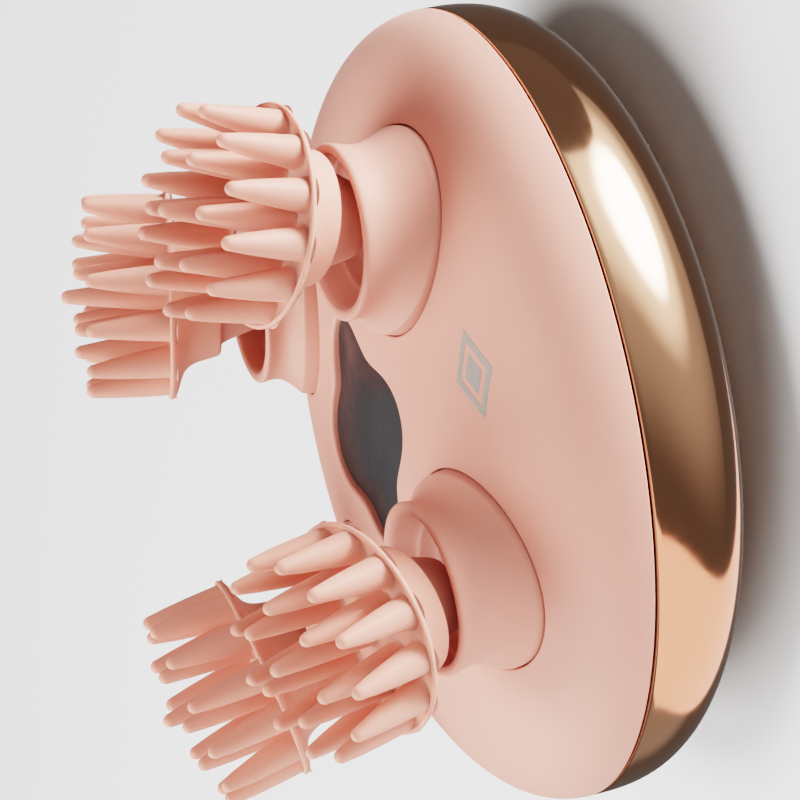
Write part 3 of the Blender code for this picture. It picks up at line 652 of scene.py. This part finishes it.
OUTSIDE = (
    # share, radius, offset: out of the groove, over the shoulder and up to the lip
    (0.0, 13.9, -2.6),
    (0.0, 13.9, -1.0),
    (0.0, 13.85, 0.1),
    (0.06, 13.5, 0.0),
    (0.16, 12.95, 0.0),
    (0.28, 12.3, 0.0),
    (0.42, 11.75, 0.0),
    (0.58, 11.45, 0.0),
    (0.74, 11.5, 0.0),
    (0.88, 11.75, 0.0),
    (0.97, 11.85, 0.0),
    (1.02, 11.55, 0.0),
    (1.03, 11.0, 0.0),
    (1.0, 10.5, 0.0),
)
DISH = (
    # share, radius: from inside the lip down to the hole, with two faint steps
    (0.10, 10.15),
    (0.28, 9.75),
    (0.44, 9.35),
    (0.47, 8.95),
    (0.60, 8.7),
    (0.72, 8.2),
    (0.76, 7.6),
    (0.88, 6.9),
    (0.97, 5.8),
    (1.0, 4.6),
    (1.0, 3.5),
)


def build_collars():
    rings = [collar_ring(*row) for row in rounded(OUTSIDE, 2)]
    rings += [dish_ring(*row) for row in rounded(DISH, 2)]
    rings.append(tilted_ring(DRIVE_OUT, DISH_FLOOR_Z - 1.2 * MM, 0, 3.45 * MM))
    for index, place in corners():
        bm = bmesh.new()
        add_loft(bm, [[place @ point for point in ring] for ring in rings])
        collar = add_mesh(f"neck_collar_{index}_fine", bm, PINK)
        stands_for(collar, "body", "pink_plastic", f"neck_collar_{index}")


def build_seals():
    """Lip seals at the bottom of the dishes."""
    top = DISH_FLOOR_Z - 1.25 * MM
    profile = [(2.3 * MM, top - 0.8 * MM), (2.25 * MM, top + 0.5 * MM), (2.7 * MM, top + 0.45 * MM)]
    profile += [(3.2 * MM, top), (5.3 * MM, top - 0.1 * MM), (5.3 * MM, top - 1.4 * MM)]
    for index, place in corners():
        bm = bmesh.new()
        add_turned(bm, profile, 64, closed=True, place=place)
        seal = add_mesh(f"spindle_seal_{index}_fine", bm, RUBBER)
        stands_for(seal, "body", "dark_rubber", f"spindle_seal_{index}")


# Heads ----------------------------------------------------------------------


def below_rim(points):
    """Radii, and distances below the rim, both in millimetres, as a head's profile."""
    return [(radius * MM, RIM_DISTANCE - drop * MM) for radius, drop in points]


def bristle_profile(height):
    """From the foot's fillet on the disc up to a rounded tip. Z is 0 at the tip."""
    tip = 1.0 * MM
    shoulder = 1.9 * MM
    base = 2.3 * MM
    points = [(base + 0.75 * MM, -height - 0.15 * MM), (base + 0.35 * MM, -height + 0.03 * MM)]
    points += [(base + 0.1 * MM, -height + 0.25 * MM), (base - 0.02 * MM, -height + 0.7 * MM)]
    points.append((shoulder, -height * 0.62))
    points.append((1.42 * MM, -height * 0.3))
    for i in range(7):
        angle = math.pi / 2 * i / 6
        points.append((tip * math.cos(angle), -tip * 1.15 * (1 - math.sin(angle))))
    return points


def add_bristle(bm, place, angle, tip_radius, tip_height, lean):
    turn = Matrix.Rotation(angle, 4, "Z")
    tip = Matrix.Translation((tip_radius, 0, RIM_DISTANCE + tip_height - 0.02 * MM))
    frame_of_tip = place @ turn @ tip @ Matrix.Rotation(lean, 4, "Y")
    profile = bristle_profile((tip_height + 0.5 * MM) / math.cos(lean))
    rings = []
    for radius, height in profile:
        ring = circle(max(radius, 0.02 * MM), height, BRISTLE_STEPS)
        rings.append([frame_of_tip @ point for point in ring])
    add_loft(bm, rings, ("open", "face"))


DISC = (
    # radius, drop below the rim: the disc's face, rim, bowl and skirt
    (0.0, 0.45),
    (7.0, 0.45),
    (13.4, 0.45),
    (14.05, 0.3),
    (14.3, 0.02),
    (14.6, 0.0),
    (14.85, 0.15),
    (14.88, 0.5),
    (14.6, 0.9),
    (13.6, 1.35),
    (12.0, 1.8),
    (10.6, 2.5),
    (9.8, 3.7),
    (9.35, 5.3),
    (9.0, 6.7),
    (8.75, 7.3),
    (8.2, 7.5),
    (7.7, 7.4),
    (7.55, 6.8),
    (7.55, 2.0),
)


def build_heads():
    tilted = Matrix.Translation((0, 0, PIVOT_Z)) @ Matrix.Rotation(HEAD_TILT, 4, "Y")
    for index, corner in corners():
        place = corner @ tilted
        bm = bmesh.new()
        profile = [DISC[0]] + rounded(DISC[1:], 2)
        rings = []
        for radius, height in below_rim(profile):
            ring = circle(max(radius, 0.05 * MM), height, HEAD_STEPS)
            rings.append([place @ point for point in ring])
        add_loft(bm, rings, ("face", "open"))
        for count, first_angle, tip_radius, tip_height, lean in BRISTLE_RINGS:
            for i in range(count):
                add_bristle(bm, place, first_angle + TURN * i / count, tip_radius, tip_height, lean)
        head = add_mesh(f"massage_head_{index}_fine", bm, SILICONE, sharp=60)
        stands_for(head, f"head_{index}", "pink_silicone", f"massage_head_{index}")
        build_hub(index, place)
        build_spindle(index, corner, place)


def build_hub(index, place):
    """The cup in the skirt, and its neck that hides the spindle."""
    bore = 2.5
    points = [(0, 2.2), (7.3, 2.2), (7.3, 7.0), (7.2, 7.6), (6.7, 8.5), (5.9, 10.6)]
    points += [(5.2, 12.4), (4.9, 12.9), (4.4, 13.15), (3.7, 13.15), (3.4, 12.9)]
    points += [(3.3, 10.5), (bore, 9.9), (bore, 3.9), (0, 3.8)]
    bm = bmesh.new()
    add_turned(bm, below_rim(points), 96, place=place)
    hub = add_mesh(f"head_hub_{index}_fine", bm, PINK)
    stands_for(hub, f"head_{index}", "pink_plastic", f"head_hub_{index}")


def build_spindle(index, corner, place):
    """A bent rod, with rings of equal radius along its smoothed middle line."""
    pivot = corner @ Vector((0, 0, PIVOT_Z))
    foot = corner @ Vector((0, 0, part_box(f"drive_spindle_{index}")[0].z))
    end = place @ Vector((0, 0, 7.9 * MM))
    line = [Vector(point) for point in rounded([tuple(foot), tuple(pivot), tuple(end)], 4)]
    rings = []
    for i, point in enumerate(line):
        along = (line[min(i + 1, len(line) - 1)] - line[max(i - 1, 0)]).normalized()
        turn = Vector((0, 0, 1)).rotation_difference(along).to_matrix()
        rings.append([point + turn @ spot for spot in circle(SPINDLE_RADIUS - 0.05 * MM, 0, 48)])
    bm = bmesh.new()
    add_loft(bm, rings, ("face", "face"))
    rod = add_mesh(f"drive_spindle_{index}_fine", bm, STEEL)
    stands_for(rod, f"head_{index}", "steel", f"drive_spindle_{index}")


# Button and port ------------------------------------------------------------


def build_button():
    """A dished cap with a fine ring groove, and a flange and stem inside the cover."""
    dish = [(0, 0.35), (2.4, 0.28), (4.1, 0.12), (4.3, 0.3), (4.6, 0.3), (4.8, 0.08)]
    edge = [(6.4, 0), (6.9, 0.06), (BUTTON_RADIUS / MM, 0.35)]
    flange = [(BUTTON_RADIUS, 2.5 * MM), (8.6 * MM, 2.5 * MM), (8.6 * MM, 3.3 * MM)]
    stem = [(1.5 * MM, 3.3 * MM), (1.5 * MM, 3.8 * MM), (0, 3.8 * MM)]
    face = [(radius * MM, BUTTON_FACE_Z + depth * MM) for radius, depth in dish + edge]
    bm = bmesh.new()
    add_turned(bm, face + flange + stem, 96)
    button = add_mesh("power_button_fine", bm, GOLD, sharp=30)
    return stands_for(button, "button", "rose_gold", "power_button")


def build_flap():
    """A rubber flap that follows the cover, with a small grip near its upper edge."""
    low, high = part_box("port_flap")
    columns, rows = 24, 10
    bm = bmesh.new()
    grid = []
    for j in range(rows + 1):
        line = []
        for i in range(columns + 1):
            y = low.y + (high.y - low.y) * i / columns
            z = low.z + (high.z - low.z) * j / rows
            rise = (SEAM_Z - z) / BACK_DEPTH
            out = BODY_RADIUS * (1 - rise**BACK_POWER) ** (1 / BACK_POWER) - 0.1 * MM
            grip = 0.0
            if abs(i - columns / 2) < columns / 5 and 6 <= j <= 8:
                grip = -0.3 * MM
            line.append(bm.verts.new((-math.sqrt(out**2 - y**2) - grip, y, z)))
        grid.append(line)
    for a, b in zip(grid, grid[1:]):
        for i in range(columns):
            bm.faces.new((a[i], a[i + 1], b[i + 1], b[i]))
    bmesh.ops.solidify(bm, geom=bm.faces[:], thickness=1.2 * MM)
    flap = add_mesh("port_flap_fine", bm, RUBBER)
    low_x = min(vert.co.x for vert in flap.data.vertices)
    if low_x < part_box("back_cover")[0].x:
        raise ValueError("the flap stands out of the cover")
    return stands_for(flap, "port_cover", "dark_rubber", "port_flap")


# Light, floor and camera ----------------------------------------------------


def direction(azimuth, elevation):
    azimuth, elevation = math.radians(azimuth), math.radians(elevation)
    flat = math.cos(elevation)
    return Vector((flat * math.cos(azimuth), flat * math.sin(azimuth), math.sin(elevation)))


def add_light(name, azimuth, elevation, size, watts):
    """A round soft box that faces the object."""
    light = bpy.data.lights.new(name, "AREA")
    light.shape = "DISK"
    light.size = size
    light.energy = watts
    holder = bpy.data.objects.new(name, light)
    bpy.context.scene.collection.objects.link(holder)
    target = Vector((0, 0, 0.035))
    holder.location = target + LIGHT_DISTANCE * direction(azimuth, elevation)
    holder.rotation_euler = direction(azimuth, elevation).to_track_quat("Z", "Y").to_euler()
    return holder


def add_lights():
    """Soft boxes. Those below the floor's level shine through it, as it casts no shadow."""
    boxes = (
        # name, azimuth, elevation, size, watts
        ("key", -45, -45, 0.45, 13.8),
        ("near_low", -85, -45, 0.45, 1.6),
        ("far_low", -17, -30, 0.40, 2.2),
        ("back_high", 138, 45, 0.60, 5.6),
        ("port_high", 180, 35, 0.50, 3.0),
        ("zenith", 0, 88, 0.50, 5.4),
        ("near", -100, 15, 0.50, 1.6),
    )
    for name, azimuth, elevation, size, watts in boxes:
        holder = add_light(name, azimuth, elevation, size, watts)
        holder.visible_glossy = False


class Sky:
    """World nodes that build a studio, seen only in reflections, from simple cards."""

    def __init__(self):
        self.world = bpy.data.worlds.new("studio")
        bpy.context.scene.world = self.world
        self.world.use_nodes = True
        self.tree = self.world.node_tree
        self.tree.nodes.clear()
        self.way = self.add("ShaderNodeTexCoord").outputs["Generated"]

    def add(self, kind, **values):
        node = self.tree.nodes.new(kind)
        for name, value in values.items():
            setattr(node, name, value)
        return node

    def link(self, source, target):
        self.tree.links.new(source, target)

    def towards(self, azimuth, elevation, start, end):
        """0 to 1 as the cosine to a direction goes from start to end."""
        dot = self.add("ShaderNodeVectorMath", operation="DOT_PRODUCT")
        dot.inputs[1].default_value = direction(azimuth, elevation)
        self.link(self.way, dot.inputs[0])
        ramp = self.add("ShaderNodeMapRange", interpolation_type="SMOOTHSTEP")
        ramp.inputs["From Min"].default_value = start
        ramp.inputs["From Max"].default_value = end
        self.link(dot.outputs["Value"], ramp.inputs["Value"])
        return ramp.outputs["Result"]

    def both(self, *masks):
        result = masks[0]
        for mask in masks[1:]:
            node = self.add("ShaderNodeMath", operation="MULTIPLY")
            self.link(result, node.inputs[0])
            self.link(mask, node.inputs[1])
            result = node.outputs["Value"]
        return result

    def over(self, color, mask, under):
        """Lays a colour over what is under it."""
        mix = self.add("ShaderNodeMix", data_type="RGBA")
        mix.inputs["B"].default_value = (*color, 1.0)
        if isinstance(under, tuple):
            mix.inputs["A"].default_value = (*under, 1.0)
        else:
            self.link(under, mix.inputs["A"])
        self.link(mask, mix.inputs["Factor"])
        return mix.outputs["Result"]

    def finish(self, color, plain, dim):
        """The camera sees a plain backdrop, and the studio in direct reflections. All else
        sees dim gray, so the studio casts no light."""
        path = self.add("ShaderNodeLightPath")
        backdrop = self.over(plain, path.outputs["Is Camera Ray"], dim)
        direct = self.add("ShaderNodeMath", operation="LESS_THAN")
        self.link(path.outputs["Diffuse Depth"], direct.inputs[0])
        seen = self.add("ShaderNodeMix", data_type="RGBA")
        glossy = self.both(path.outputs["Is Glossy Ray"], direct.outputs["Value"])
        self.link(glossy, seen.inputs["Factor"])
        self.link(backdrop, seen.inputs["A"])
        self.link(color, seen.inputs["B"])
        background = self.add("ShaderNodeBackground")
        self.link(seen.outputs["Result"], background.inputs["Color"])
        output = self.add("ShaderNodeOutputWorld")
        self.link(background.outputs["Background"], output.inputs["Surface"])


def gray(value):
    return (value, value, value)


def add_world():
    """Painted reflections, seen only in direct reflections and casting no light: dark walls and a pale ceiling, a
    round lamp that glows below the near side, and a warm card with straight edges that lies below the port's side."""
    sky = Sky()
    lamp = (-42, -46)
    # Painted reflection of a lamp: its wide glow, its halo and its bright core, which light nothing.
    color = sky.over(gray(0.40), sky.towards(*lamp, 0.35, 0.85), gray(0.13))
    color = sky.over(gray(1.25), sky.towards(*lamp, 0.80, 0.93), color)
    color = sky.over(gray(12.0), sky.towards(*lamp, 0.93, 0.985), color)
    # Painted reflections of darker and lighter walls.
    color = sky.over(gray(0.12), sky.towards(89, 19, -0.05, -0.02), color)
    color = sky.over(gray(0.15), sky.towards(-2, -14, 0.897, 0.906), color)
    color = sky.over(gray(0.18), sky.towards(80, -25, 0.955, 0.995), color)
    color = sky.over(gray(0.28), sky.towards(146, -19, 0.93, 0.985), color)
    # Painted reflection of a warm card, which lights nothing.
    card = sky.both(sky.towards(142, 32, 0.0, 0.012), sky.towards(-87, -50.5, 0.0, 0.012))
    color = sky.over((1.34, 0.90, 0.85), card, color)
    color = sky.over(gray(0.50), sky.towards(0, 90, 0.15, 0.8), color)
    sky.finish(color, gray(0.9), gray(0.11))


def add_floor():
    """A pale floor. Reflections and light pass through it, as if the massager stood on
    clear glass over the studio, and so does the view from below."""
    bm = bmesh.new()
    bmesh.ops.create_grid(bm, x_segments=2, y_segments=2, size=6)
    surface = Surface("pale_floor", (0.86, 0.86, 0.86), 0.8)
    surface.tint(surface.noise(3), (0.88, 0.88, 0.88))
    behind = surface.add("ShaderNodeNewGeometry").outputs["Backfacing"]
    clear = surface.add("ShaderNodeBsdfTransparent")
    mix = surface.add("ShaderNodeMixShader")
    surface.link(behind, mix.inputs["Fac"])
    surface.link(surface.shader.outputs["BSDF"], mix.inputs[1])
    surface.link(clear.outputs["BSDF"], mix.inputs[2])
    surface.link(mix.outputs["Shader"], surface.tree.nodes["Material Output"].inputs["Surface"])
    floor = add_mesh("pale_floor", bm, surface.material)
    floor.location.z = -0.2 * MM
    floor.visible_glossy = False
    floor.visible_shadow = False


def add_camera():
    """From the near side, a little over the seam, with +X up in the picture."""
    target = Vector((3.7, 3.5, 34.3)) * MM
    away = Vector((-0.1006, -0.9494, 0.2975)).normalized()
    up = Vector((0.966, -0.165, -0.2))
    right = up.cross(away).normalized()
    upward = away.cross(right)
    camera = bpy.data.cameras.new("camera")
    camera.lens = 229.9
    camera.sensor_width = 36
    holder = bpy.data.objects.new("camera", camera)
    turn = Matrix((right, upward, away)).transposed().to_4x4()
    holder.matrix_world = Matrix.Translation(target + 0.70 * away) @ turn
    bpy.context.scene.collection.objects.link(holder)
    bpy.context.scene.camera = holder


repaint_frame()
build_front_shell()
build_back_cover()
build_gasket()
build_window()
build_mark()
build_collars()
build_seals()
build_heads()
build_button()
build_flap()
add_camera()
add_lights()
add_world()
add_floor()
bpy.context.scene.view_settings.view_transform = "Filmic"
bpy.context.scene.view_settings.look = "Very High Contrast"
